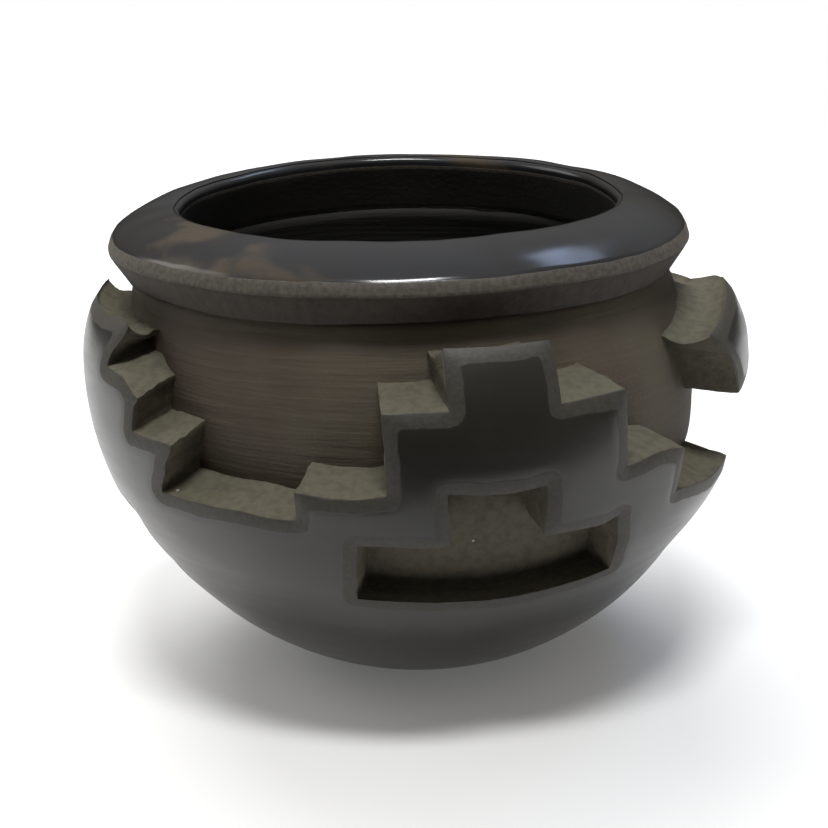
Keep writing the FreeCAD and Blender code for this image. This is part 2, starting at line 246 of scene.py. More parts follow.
@dataclass(frozen=True)
class PotForm:
    """The curves that the pieces share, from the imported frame's boxes."""

    foot_radius: float
    floor_height: float
    bowl_radius: float
    bowl_height: float
    belly_radius: float
    ledge_height: float
    block_top: float
    bar_bottom: float
    rim_base: float
    rim_top: float
    lip_radius: float
    bowl_arc: float = 85.0
    bowl_inner_arc: float = 82.0
    bowl_wall: float = 18.8
    belly_height: float = 81.0
    belly_arc: float = 66.0
    flank_rise: float = 8.0
    relief_depth: float = 14.0
    neck_height: float = 80.0
    neck_arc: float = 80.0
    neck_wall: float = 7.5
    lean: float = -0.007
    neck_shift: float = 4.3
    rim_lift: float = 0.045

    @classmethod
    def from_frame(cls) -> "PotForm":
        """Reads the sizes off the CAD nodes' boxes."""
        boxes = {name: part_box(name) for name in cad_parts}
        low = {name: box[0] / MM for name, box in boxes.items()}
        high = {name: box[1] / MM for name, box in boxes.items()}
        return cls(
            foot_radius=high["base_disc"].x,
            floor_height=high["base_disc"].z,
            bowl_radius=high["moulded_bowl"].x,
            bowl_height=high["moulded_bowl"].z,
            belly_radius=(CAD_BOX[1].x - CAD_BOX[0].x) / 2 / MM,
            ledge_height=low["front_step_pyramid"].z,
            block_top=high["front_step_pyramid"].z,
            bar_bottom=low["right_raised_bar"].z,
            rim_base=low["rim_coil"].z,
            rim_top=high["rim_coil"].z,
            lip_radius=high["rim_coil"].x,
        )

    def round_through(
        self, low: tuple[float, float], high: tuple[float, float], radius: float
    ) -> np.ndarray:
        """Centre of the arc from one point up to another, bulging out.

        Args:
            low: radius and height of the lower point.
            high: radius and height of the upper point.
            radius: the arc's radius.

        Returns:
            The centre's radius and height.
        """
        chord = np.subtract(high, low)
        length = float(np.hypot(*chord))
        reach = math.sqrt(radius**2 - (length / 2) ** 2)
        inward = np.array([-chord[1], chord[0]]) / length
        return np.add(low, high) / 2 + inward * reach

    def outside(self, height: np.ndarray) -> np.ndarray:
        """The burnished outside's radius at each height."""
        joint = (self.bowl_radius, self.bowl_height)
        centre = self.round_through((self.foot_radius, 0.0), joint, self.bowl_arc)
        inner = np.clip(self.bowl_arc**2 - (height - centre[1]) ** 2, 0, None)
        bowl = centre[0] + np.sqrt(inner)
        rise = np.clip(self.belly_arc**2 - (height - self.belly_height) ** 2, 0, None)
        belly = self.belly_radius - self.belly_arc + np.sqrt(rise)
        flank_top = self.bowl_height + self.flank_rise
        share = (height - self.bowl_height) / self.flank_rise
        drop = self.belly_arc**2 - (flank_top - self.belly_height) ** 2
        flank_radius = self.belly_radius - self.belly_arc + math.sqrt(drop)
        flank = self.bowl_radius + (flank_radius - self.bowl_radius) * share
        return np.where(height < self.bowl_height, bowl, np.where(height < flank_top, flank, belly))

    def wall(self, height: np.ndarray) -> np.ndarray:
        """The recessed wall's outer radius at each height."""
        rise = np.clip(self.neck_arc**2 - (height - self.neck_height) ** 2, 0, None)
        return self.belly_radius - self.relief_depth - self.neck_arc + np.sqrt(rise)

    def inside(self, height: np.ndarray) -> np.ndarray:
        """The recessed wall's inner radius at each height."""
        arc = self.neck_arc - self.neck_wall
        rise = np.clip(arc**2 - (height - self.neck_height) ** 2, 0, None)
        return self.belly_radius - self.relief_depth - self.neck_arc + np.sqrt(rise)

    def place(
        self, azimuth: np.ndarray, radius: np.ndarray, height: np.ndarray, depth: np.ndarray
    ) -> np.ndarray:
        """Points on the pot, which leans a little one way outside and the other at the neck.

        Args:
            azimuth: degrees from the front.
            radius: distance from the axis.
            height: height over the foot.
            depth: 0 outside to 1 at the recessed wall, which sits off the axis at the top.

        Returns:
            Rows of x, y, z in millimetres.
        """
        turn = np.radians(azimuth)
        inward = np.clip(depth, 0, 1)
        rise = np.clip((height - self.ledge_height) / (self.rim_base - self.ledge_height), 0, 1)
        aside = self.lean * height * (1 - inward) - self.neck_shift * rise * inward
        return np.stack([radius * np.sin(turn) + aside, -radius * np.cos(turn), height], axis=-1)


# ---------------------------------------------------------------- carved skin


@dataclass(frozen=True)
class Window:
    """A stretch of the skin, by azimuth in degrees and height in millimetres."""

    left: float
    right: float
    low: float
    high: float

    def holds(self, azimuth: np.ndarray, height: np.ndarray) -> np.ndarray:
        """Which of the places lie in the window."""
        across = (azimuth - self.left) % 360.0 < (self.right - self.left)
        return across & (height > self.low) & (height < self.high)


@dataclass(frozen=True)
class Nudge:
    """Where the knife left the ruled line: a soft push of the lines round one place."""

    azimuth: float
    height: float
    turn: float
    lift: float
    reach_azimuth: float = 4.0
    reach_height: float = 7.0

    def weight(self, azimuth: np.ndarray, height: np.ndarray) -> np.ndarray:
        """How much of the push each place takes."""
        across = (azimuth - self.azimuth + 180.0) % 360.0 - 180.0
        near = np.clip(np.abs(across) / self.reach_azimuth, 0, 1)
        level = np.clip(np.abs(height - self.height) / self.reach_height, 0, 1)
        return (0.5 + 0.5 * np.cos(math.pi * near)) * (0.5 + 0.5 * np.cos(math.pi * level))


@dataclass(frozen=True)
class Fret:
    """A stepped block on the ledge and the stepped niche cut under it."""

    steps: tuple[Window, ...]
    niche: tuple[Window, ...]


def ruled_lines(marks: list[float], margins: tuple[float, ...], gap: float) -> np.ndarray:
    """Lines at every mark, close lines beside it, and filling lines between.

    Args:
        marks: where features begin or end, and the two ends of the ruling.
        margins: how far to each side of a mark the close lines stand.
        gap: the widest gap left between lines.

    Returns:
        The lines in rising order.
    """
    kept = sorted(set(marks))
    for mark in sorted(set(marks)):
        for margin in margins:
            for line in (mark - margin, mark + margin):
                clear = min(abs(line - other) for other in kept)
                if kept[0] < line < kept[-1] and clear > margins[0] * 0.75:
                    kept.append(line)
    kept.sort()
    lines = []
    for start, end in zip(kept, kept[1:]):
        count = max(1, math.ceil((end - start) / gap))
        lines += [start + (end - start) * step / count for step in range(count)]
    return np.array([*lines, kept[-1]])


@dataclass
class CarvedSkin:
    """Clay cut out of a ruling of azimuth, height and depth lines.

    Depth runs from 0 on the burnished outside to 1 on the recessed wall's curve, and a
    little past it, so that the skin sinks into the wall behind.
    """

    name: str
    form: PotForm
    azimuths: np.ndarray
    heights: np.ndarray
    depths: np.ndarray
    clay: np.ndarray
    closed: bool
    nudges: tuple[Nudge, ...]
    border: float = 3.5
    border_fall: float = 0.75
    edge_round: float = 0.55
    top_scoop: float = 1.6
    top_draw: float = 1.3
    draw_from: float = 90.0
    swell: float = 2.6
    swell_azimuth: float = -92.0
    swell_height: float = 36.0
    swell_spread: float = 38.0
    swell_reach: float = 13.0
    foot_zone: float = 20.0

    def tread_rise(self, azimuth: np.ndarray, height: np.ndarray) -> np.ndarray:
        """How much higher a line ends at the wall than at the outside."""
        top = self.form.block_top
        heights = [0.0, self.form.bowl_height, 50.0, 58.0, 92.0, top]
        return np.interp(height, heights, [0.0, 0.0, 0.0, 3.5, 3.5, -3.0])

    def roots(self, height: np.ndarray) -> tuple[np.ndarray, np.ndarray]:
        """Radius and height of the skin's inner side, for each outer height."""
        joint = self.form.bowl_height
        share = np.clip(height / joint, 0, 1)
        joint_radius = float(self.form.wall(np.array(joint)))
        radius = self.form.foot_radius + (joint_radius - self.form.foot_radius) * np.sin(
            share * math.pi / 2
        )
        rise = self.form.floor_height + (joint - self.form.floor_height) * share
        below = height < joint
        return np.where(below, radius, self.form.wall(height)), np.where(below, rise, height)

    def crown(self, height: np.ndarray) -> np.ndarray:
        """How near each height is to the blocks' tops, from 0 well below them to 1."""
        return np.clip((height - self.draw_from) / (self.form.block_top - self.draw_from), 0, 1)

    def shape(
        self, azimuth: np.ndarray, height: np.ndarray, depth: np.ndarray
    ) -> tuple[np.ndarray, np.ndarray]:
        """Nudged azimuth and height of each ruled place, with the tops scooped like gutters."""
        turned = azimuth.copy()
        lifted = height - self.top_scoop * self.crown(height) ** 3 * self.gutter(depth)
        for nudge in self.nudges:
            weight = nudge.weight(azimuth, height)
            turned += weight * nudge.turn
            lifted += weight * nudge.lift
        return turned, lifted

    def swelling(self, azimuth: np.ndarray, height: np.ndarray) -> np.ndarray:
        """How far the left flank stands out under the ledge, where the hand pressed from inside."""
        across = ((azimuth - self.swell_azimuth + 180.0) % 360.0 - 180.0) / self.swell_spread
        above = (height - self.swell_height) / self.swell_reach
        return self.swell * np.exp(-(across**2) - above**2)

    def gutter(self, depth: np.ndarray) -> np.ndarray:
        """A hollow across a top, from nothing at its outer edge and at the wall to 1."""
        return np.sin(math.pi * np.clip(depth, 0, 1)) ** 1.2

    def points(self, azimuth: np.ndarray, height: np.ndarray, depth: np.ndarray) -> np.ndarray:
        """Where each ruled place lies on the pot.

        Args:
            azimuth: ruled azimuths in degrees.
            height: ruled heights.
            depth: ruled depths.

        Returns:
            Rows of x, y, z in millimetres.
        """
        turned, lifted = self.shape(azimuth, height, depth)
        rough = self.form.place(turned, self.form.outside(lifted), lifted, depth)
        foot_fade = np.clip(height / self.foot_zone, 0, 1)
        lifted = lifted + foot_fade * tremor(rough, LINE_RISE)
        turned = turned + foot_fade * tremor(rough, LINE_TURN)
        cut = np.clip(depth * 6.0, 0, 1) * foot_fade
        inner_radius, inner_height = self.roots(lifted)
        inner_height = inner_height + self.tread_rise(azimuth, height)
        above = height >= self.form.bowl_height
        inner_radius = np.where(above, self.form.wall(inner_height), inner_radius)
        outer_radius = self.form.outside(lifted) + foot_fade * tremor(rough, FACE_SWELL)
        outer_radius = outer_radius - self.top_draw * self.crown(height) ** 1.5
        outer_radius = outer_radius + self.swelling(turned, lifted)
        radius = outer_radius + (inner_radius - outer_radius) * depth
        level = lifted + (inner_height - lifted) * depth
        place = self.form.place(turned, radius, level, depth)
        level = level + cut * tremor(place, CUT_RISE)
        turned = turned + cut * tremor(place, CUT_TURN)
        return self.form.place(turned, radius, level, depth)

    def skin(self) -> tuple[np.ndarray, list[list[int]], np.ndarray]:
        """The boundary between clay and air.

        Returns:
            Ruled places of the vertices as index rows, the faces, and each face's axis.
        """
        pad = ((0, 0) if self.closed else (1, 1), (1, 1), (1, 1))
        cells = np.pad(self.clay, pad)
        shift = np.array([0 if self.closed else 1, 1, 1])
        columns = len(self.azimuths)
        faces, axes = [], []
        for axis in range(3):
            before = np.roll(cells, 1, axis=axis)
            others = [other for other in range(3) if other != axis]
            for cell in np.argwhere(before != cells):
                corner = cell - shift
                loop = []
                for step_a, step_b in ((0, 0), (1, 0), (1, 1), (0, 1)):
                    place = corner.copy()
                    place[others[0]] += step_a
                    place[others[1]] += step_b
                    if self.closed:
                        place[0] %= columns
                    loop.append(tuple(place))
                outward_is_up = bool(before[tuple(cell)])
                # The ruling (azimuth, height, depth) is left-handed, so loops run the other way.
                flip = outward_is_up == (axis != 1)
                faces.append(loop[::-1] if flip else loop)
                axes.append(axis)
        numbers: dict[tuple[int, int, int], int] = {}
        corners = [[numbers.setdefault(place, len(numbers)) for place in loop] for loop in faces]
        return np.array(list(numbers)), corners, np.array(axes)

    def edge_distance(
        self, index: np.ndarray, points: np.ndarray, axes: np.ndarray, faces: list[list[int]]
    ) -> np.ndarray:
        """Millimetres from the nearest carved edge, on the outside; depth below it, negative.

        Args:
            index: ruled place of each vertex.
            points: where each vertex lies.
            axes: each face's axis.
            faces: each face's corners.

        Returns:
            One number for each vertex.
        """
        outer_corners, cut_corners = set(), set()
        for axis, loop in zip(axes, faces):
            if axis != 2:
                cut_corners.update(loop)
            elif index[loop[0]][2] == 0:
                outer_corners.update(loop)
        brink = sorted(v for v in outer_corners & cut_corners if self.heights[index[v][1]] > 1.0)
        tree = KDTree(len(brink))
        for place, vertex in enumerate(brink):
            tree.insert(Vector(points[vertex]), place)
        tree.balance()
        distance = np.empty(len(points))
        for vertex in range(len(points)):
            if index[vertex][2] == 0:
                distance[vertex] = tree.find(Vector(points[vertex]))[2]
            else:
                distance[vertex] = DEEPEST_CUT_EDGE * self.depths[index[vertex][2]]
        return distance

    def build(self) -> bpy.types.Object:
        """Cuts the skin and rounds its edges."""
        index, faces, axes = self.skin()
        azimuth = self.azimuths[index[:, 0]]
        height = self.heights[index[:, 1]]
        depth = self.depths[index[:, 2]]
        points = self.points(azimuth, height, depth)
        distance = self.edge_distance(index, points, axes, faces)
        outer = depth == 0
        fall = self.border_fall * np.clip(1 - distance / self.border, 0, 1) * outer
        spoke = points[:, :2] / np.linalg.norm(points[:, :2], axis=1)[:, None]
        points[:, :2] -= spoke * fall[:, None]
        piece = mesh_object(self.name, points, faces)
        store(piece, EDGE, distance)
        self.mark_edges(piece, axes)
        bevel = piece.modifiers.new("edge_round", "BEVEL")
        bevel.limit_method = "WEIGHT"
        bevel.width = self.edge_round * MM
        bevel.segments = 2
        bevel.use_clamp_overlap = True
        settle(piece)
        piece.data.shade_smooth()
        return piece

    def mark_edges(self, piece: bpy.types.Object, axes: np.ndarray) -> None:
        """Weighs every edge between faces cut in different ways, for the bevel."""
        shape = bmesh.new()
        shape.from_mesh(piece.data)
        shape.faces.ensure_lookup_table()
        if shape.calc_volume(signed=True) < 0:
            raise RuntimeError(f"{self.name} is inside out")
        weight = shape.edges.layers.float.new("bevel_weight_edge")
        for edge in shape.edges:
            if len(edge.link_faces) == 2:
                one, two = edge.link_faces
                edge[weight] = float(axes[one.index] != axes[two.index])
        shape.to_mesh(piece.data)
        shape.free()


@dataclass
class CarvedBody:
    """Bowl, belly and stepped blocks: one burnished skin with its ledges and niches."""

    form: PotForm
    border: float = 3.5
    line_gap_turn: float = 1.35
    line_gap_rise: float = 2.0

    def levels(self) -> dict[str, float]:
        """The heights that the frets share."""
        ledge = self.form.ledge_height
        return {
            "deep_ledge": ledge - 19.4,
            "left_sill": ledge - 30.4,
            "sill": ledge - 23.4,
            "left_niche_step": ledge - 13.4,
            "niche_step": ledge - 5.9,
            "ledge": ledge,
            "low_tread": ledge + 8.0,
            "left_low_tread": ledge + 13.6,
            "high_tread": ledge + 26.6,
            "top": self.form.block_top,
        }

    def narrow_fret(self, turn: float) -> Fret:
        """The front fret, or its twin behind.

        Args:
            turn: the azimuth that the fret is measured from.

        Returns:
            The block's steps and its niche.
        """
        at = self.levels()
        ledge, top = at["ledge"], at["top"]
        return Fret(
            steps=(
                Window(turn - 19.3, turn + 46.5, ledge, at["low_tread"]),
                Window(turn - 5.1, turn + 33.0, ledge, at["high_tread"]),
                Window(turn + 4.3, turn + 21.4, ledge, top),
            ),
            niche=(
                Window(turn - 11.0, turn + 35.4, at["sill"], at["niche_step"]),
                Window(turn + 4.3, turn + 19.2, at["sill"], at["low_tread"]),
            ),
        )

    def frets(self) -> dict[str, Fret]:
        """The three stepped blocks with their niches."""
        at = self.levels()
        ledge, top = at["ledge"], at["top"]
        wide = Fret(
            steps=(
                Window(-112.0, -44.0, ledge, at["left_low_tread"]),
                Window(-102.6, -50.8, ledge, at["high_tread"]),
                Window(-95.2, -58.2, ledge, top),
            ),
            niche=(
                Window(-107.2, -62.2, at["left_sill"], at["left_niche_step"]),
                Window(-92.3, -77.1, at["left_sill"], ledge),
            ),
        )
        return {"front": self.narrow_fret(0.0), "left": wide, "back": self.narrow_fret(180.0)}

    def nudges(self) -> tuple[Nudge, ...]:
        """Where the carved lines leave the ruled ones."""
        at = self.levels()
        found = [
            # Left block: every riser leans out over the tread below it.
            Nudge(-44.0, at["left_low_tread"], 2.5, 0.0),
            Nudge(-44.0, at["ledge"], -2.5, 0.0),
            Nudge(-50.8, at["high_tread"], 1.2, -3.6),
            Nudge(-50.8, at["left_low_tread"], -1.0, 0.0, 3.0),
            Nudge(-58.2, at["top"], 2.4, -0.3, 4.0, 10.0),
            Nudge(-58.2, at["high_tread"], -2.2, 0.6, 3.5, 8.0),
            # The step down to the right side's hollow leans back under its tip.
            Nudge(80.0, at["niche_step"], -7.0, -0.8, 9.0, 9.0),
            # The right ledge starts out higher beside the front block.
            Nudge(46.5, at["niche_step"], 0.0, 2.4, 16.0, 6.0),
            # The left block's top is a little lower than the others.
            Nudge(-77.0, at["top"], 0.0, -1.9, 60.0, 9.0),
        ]
        for turn in (0.0, 180.0):
            found += [
                # The lowest tread is lower on one side and higher on the other.
                Nudge(turn - 12.0, at["low_tread"], 0.0, -1.4, 14.0, 5.0),
                Nudge(turn + 11.0, at["low_tread"], 0.0, -1.3, 12.0, 5.0),
                Nudge(turn + 41.0, at["low_tread"], 0.0, 1.4, 9.0, 6.0),
                # The niche spreads towards its sill, which sags in the middle.
                Nudge(turn - 11.0, at["niche_step"], 0.8, 0.0, 4.0, 9.0),
                Nudge(turn - 11.0, at["sill"], -1.0, 0.3, 4.0, 9.0),
                Nudge(turn + 35.4, at["niche_step"], -2.2, 0.8, 6.0, 9.0),
                Nudge(turn + 35.4, at["sill"], 1.6, 0.8, 5.0, 9.0),
                Nudge(turn + 12.0, at["sill"], 0.0, -1.6, 20.0, 6.0),
            ]
        return tuple(found)

    def build(self) -> bpy.types.Object:
        """Rules the lines, fills in the clay and cuts the skin."""
        at = self.levels()
        frets = self.frets()
        windows = [w for fret in frets.values() for w in (*fret.steps, *fret.niche)]
        low_ledge = Window(46.5, 160.7, at["niche_step"], at["ledge"])
        hollow = Window(80.0, 126.6, at["deep_ledge"], at["ledge"])
        windows.append(hollow)
        sides = {(side + 180.0) % 360.0 - 180.0 for w in windows for side in (w.left, w.right)}
        azimuths = ruled_lines([-180.0, 180.0, *sides], (0.75, 2.3), self.line_gap_turn)[:-1]
        marks = [0.0, *at.values()]
        heights = ruled_lines(marks, (1.1, self.border), self.line_gap_rise)
        depths = np.array(DEPTH_LINES)
        next_azimuths = np.append(azimuths[1:], 180.0)
        mid_azimuth = ((azimuths + next_azimuths) / 2)[:, None]
        mid_height = ((heights[:-1] + heights[1:]) / 2)[None, :]
        present = mid_height < at["ledge"]
        for window in (low_ledge, hollow):
            present = present & ~window.holds(mid_azimuth, mid_height)
        for fret in frets.values():
            for step in fret.steps:
                present = present | step.holds(mid_azimuth, mid_height)
        clay = np.repeat(present[:, :, None], len(depths) - 1, axis=2)
        for fret in frets.values():
            for part in fret.niche:
                clay[:, :, :-1] &= ~part.holds(mid_azimuth, mid_height)[:, :, None]
        skin = CarvedSkin(
            name="carved_body",
            form=self.form,
            azimuths=azimuths,
            heights=heights,
            depths=depths,
            clay=clay,
            closed=True,
            nudges=self.nudges(),
            border=self.border,
        )
        return skin.build()


@dataclass
class RaisedBar(CarvedSkin):
    """The bar on the right: its near end leans under, and its top is scooped and dips."""

    scoop: float = 2.6
    end_left: float = 62.0
    end_right: float = 145.6
    end_run: float = 16.0
    crest: tuple[tuple[float, float], ...] = (
        (62.0, 96.0),
        (76.0, 100.0),
        (87.0, 101.8),
        (98.0, 98.5),
        (110.0, 94.0),
        (124.0, 94.5),
        (145.6, 97.0),
    )

    @classmethod
    def ruled(cls, form: PotForm) -> "RaisedBar":
        """Rules the bar's lines and fills it with clay."""
        azimuths = ruled_lines([cls.end_left, cls.end_right], (0.75, 2.3), 1.5)
        heights = ruled_lines([form.bar_bottom, form.block_top], (1.1, 3.5), 2.0)
        depths = np.array(DEPTH_LINES)
        shape = (len(azimuths) - 1, len(heights) - 1, len(depths) - 1)
        return cls(
            name="raised_bar",
            form=form,
            azimuths=azimuths,
            heights=heights,
            depths=depths,
            clay=np.ones(shape, bool),
            closed=False,
            nudges=(),
            top_draw=2.6,
        )

    def tread_rise(self, azimuth: np.ndarray, height: np.ndarray) -> np.ndarray:
        """The bar's underside is level and its top falls a little to the wall."""
        return np.interp(height, [self.form.bar_bottom, self.form.block_top], [0.0, -1.0])

    def shape(
        self, azimuth: np.ndarray, height: np.ndarray, depth: np.ndarray
    ) -> tuple[np.ndarray, np.ndarray]:
        """The top follows its crest round the pot, and the near end leans out above."""
        share = (height - self.form.bar_bottom) / (self.form.block_top - self.form.bar_bottom)
        near_end = np.clip(1 - (azimuth - self.end_left) / self.end_run, 0, 1)
        turned = azimuth + near_end * (5.5 - 8.5 * share)
        places, crests = zip(*self.crest)
        drop = self.form.block_top - np.interp(azimuth, places, crests)
        return turned, height - share**2 * (drop + self.scoop * self.gutter(depth))


# ---------------------------------------------------------------- turned coils


class CoilTree:
    """Geometry Nodes that turn a section of points round the pot's axis."""

    def __init__(self) -> None:
        """Builds the tree once, for every turned coil."""
        self.tree = bpy.data.node_groups.new("turned_coil", "GeometryNodeTree")
        self.sockets: dict[str, str] = {}
        self.build()

    def add_socket(self, name: str, kind: str, way: str = "INPUT") -> None:
        """Adds a named socket to the tree's interface."""
        item = self.tree.interface.new_socket(name=name, in_out=way, socket_type=kind)
        self.sockets[name] = item.identifier

    def build(self) -> None:
        """Lays out the nodes: a sheet is rolled up and merged, then pushed, leant and dressed."""
        self.add_socket("Geometry", "NodeSocketGeometry", "OUTPUT")
        self.add_socket("Section", "NodeSocketGeometry")
        self.add_socket("Columns", "NodeSocketInt")
        for name in ("Sway", "Sway Waves", "Scrape", "Scrape Waves", "Seed"):
            self.add_socket(name, "NodeSocketFloat")
        for name in ("Shift", "Back Lift", "Still Height", "Full Height"):
            self.add_socket(name, "NodeSocketFloat")
        self.add_socket("Clay", "NodeSocketMaterial")
        tree = self.tree
        given = add_node(tree, "NodeGroupInput").outputs
        place = add_node(tree, "GeometryNodeInputPosition").outputs[0]
        ring = self.roll_up(given, place)
        even = self.push(given, place, (1.0, 1.0, 1.0), "Sway")
        level = self.push(given, place, (0.05, 0.05, 1.0), "Scrape")
        rough = add_node(tree, "ShaderNodeVectorMath", ADD, {0: even, 1: level})
        leant = add_node(tree, "ShaderNodeVectorMath", ADD, {0: rough, 1: self.lean(given, place)})
        shaken = add_node(tree, "GeometryNodeSetPosition", None, {"Geometry": ring, "Offset": leant})
        smooth = add_node(tree, "GeometryNodeSetShadeSmooth", None, {"Geometry": shaken})
        real = add_node(tree, "GeometryNodeRealizeInstances", None, {"Geometry": smooth})
        clad = {"Geometry": real, "Material": given["Clay"]}
        dressed = add_node(tree, "GeometryNodeSetMaterial", None, clad)
        add_node(tree, "NodeGroupOutput", None, {"Geometry": dressed})

    def roll_up(
        self, given: bpy.types.bpy_prop_collection, place: bpy.types.NodeSocket
    ) -> bpy.types.Node:
        """Rolls a sheet of rows and columns into a closed ring.

        Args:
            given: the tree's inputs.
            place: the position of whatever is being worked on.

        Returns:
            The node that holds the ring.
        """
        tree, section = self.tree, given["Section"]
        size = add_node(tree, "GeometryNodeAttributeDomainSize", None, {"Geometry": section})
        count = size.outputs["Point Count"]
        columns = add_node(tree, "ShaderNodeMath", ADD, {0: given["Columns"], 1: 1.0})
        rows = add_node(tree, "ShaderNodeMath", ADD, {0: count, 1: 1.0})
        grid = {"Size X": 1.0, "Size Y": 1.0, "Vertices X": columns, "Vertices Y": rows}
        sheet = add_node(tree, "GeometryNodeMeshGrid", None, grid)
        parts = add_node(tree, "ShaderNodeSeparateXYZ", None, {0: place}).outputs
        along = add_node(tree, "ShaderNodeMath", ADD, {0: parts["X"], 1: 0.5})
        angle = add_node(tree, "ShaderNodeMath", MULTIPLY, {0: along, 1: TAU})
        across = add_node(tree, "ShaderNodeMath", ADD, {0: parts["Y"], 1: 0.5})
        step = add_node(tree, "ShaderNodeMath", MULTIPLY, {0: across, 1: count})
        row = add_node(tree, "ShaderNodeMath", {"operation": "ROUND"}, {0: step})
        index = add_node(tree, "ShaderNodeMath", {"operation": "MODULO"}, {0: row, 1: count})
        pick = {"Geometry": section, "Value": place, "Index": index}
        corner = add_node(tree, "GeometryNodeSampleIndex", VECTORS, pick)
        edge = add_node(tree, "GeometryNodeInputNamedAttribute", NUMBERS, {"Name": EDGE})
        pick = {"Geometry": section, "Value": edge, "Index": index}
        edge_here = add_node(tree, "GeometryNodeSampleIndex", NUMBERS, pick)
        turn = {"Vector": corner, "Angle": angle}
        rolled = add_node(tree, "ShaderNodeVectorRotate", {"rotation_type": "Z_AXIS"}, turn)
        kept = {"Geometry": sheet, "Name": EDGE, "Value": edge_here}
        named = add_node(tree, "GeometryNodeStoreNamedAttribute", NUMBERS, kept)
        moved = {"Geometry": named, "Position": rolled}
        ring = add_node(tree, "GeometryNodeSetPosition", None, moved)
        near = {"Geometry": ring, "Distance": 0.02 * MM}
        return add_node(tree, "GeometryNodeMergeByDistance", None, near)

    def push(
        self,
        given: bpy.types.bpy_prop_collection,
        place: bpy.types.NodeSocket,
        stretch: tuple[float, float, float],
        name: str,
    ) -> bpy.types.Node:
        """A seeded noise push.

        Args:
            given: the tree's inputs.
            place: the position that the noise is read at.
            stretch: how much of each axis the noise sees.
            name: the input that holds its amount, whose waves are beside it.

        Returns:
            The node that holds the push.
        """
        tree = self.tree
        seen = add_node(tree, "ShaderNodeVectorMath", MULTIPLY, {0: place, 1: stretch})
        waves = {"Vector": seen, "W": given["Seed"], "Scale": given[f"{name} Waves"], "Detail": 2.0}
        noise = add_node(tree, "ShaderNodeTexNoise", {"noise_dimensions": "4D"}, waves)
        middle = {0: noise.outputs["Color"], 1: (0.5, 0.5, 0.5)}
        centred = add_node(tree, "ShaderNodeVectorMath", SUBTRACT, middle)
        return add_node(tree, "ShaderNodeVectorMath", SCALE, {0: centred, "Scale": given[name]})

    def lean(
        self, given: bpy.types.bpy_prop_collection, place: bpy.types.NodeSocket
    ) -> bpy.types.Node:
        """A shift to one side and a lift of the back half, which grow up to one height.

        Args:
            given: the tree's inputs.
            place: the position that the lean is worked out from.

        Returns:
            The node that holds the lean.
        """
        tree = self.tree
        parts = add_node(tree, "ShaderNodeSeparateXYZ", None, {0: place}).outputs
        span = {0: parts["Z"], 1: given["Still Height"], 2: given["Full Height"], 3: 0.0, 4: 1.0}
        share = add_node(tree, "ShaderNodeMapRange", None, span)
        behind = add_node(tree, "ShaderNodeMath", {"operation": "MAXIMUM"}, {0: parts["Y"], 1: 0.0})
        lift = add_node(tree, "ShaderNodeMath", MULTIPLY, {0: behind, 1: given["Back Lift"]})
        aside = add_node(tree, "ShaderNodeMath", MULTIPLY, {0: given["Shift"], 1: -1.0})
        whole = add_node(tree, "ShaderNodeCombineXYZ", None, {"X": aside, "Z": lift})
        return add_node(tree, "ShaderNodeVectorMath", SCALE, {0: whole, "Scale": share})

    def turn(
        self, name: str, section: np.ndarray, edge: np.ndarray, sizes: dict[str, Any]
    ) -> bpy.types.Object:
        """Turns a section into a closed ring.

        Args:
            name: the piece's name.
            section: rows of radius and height, round the section with its outside rising.
            edge: each point's distance from the burnished edge.
            sizes: the tree's other inputs by name.

        Returns:
            The piece, as a plain mesh.
        """
        points = np.stack([np.zeros(len(section)), -section[:, 0], section[:, 1]], axis=-1)
        piece = mesh_object(name, points, [])
        store(piece, EDGE, edge)
        modifier = piece.modifiers.new("turned_coil", "NODES")
        modifier.node_group = self.tree
        for label, value in sizes.items():
            modifier[self.sockets[label]] = value
        return settle(piece)


def run_of(*points: tuple[float, float], gap: float) -> np.ndarray:
    """Points along a broken line, no further apart than a gap, without the last one."""
    found = []
    for start, end in zip(points, points[1:]):
        steps = max(1, math.ceil(math.dist(start, end) / gap))
        for step in range(steps):
            found.append(np.add(start, np.subtract(end, start) * step / steps))
    return np.array(found)


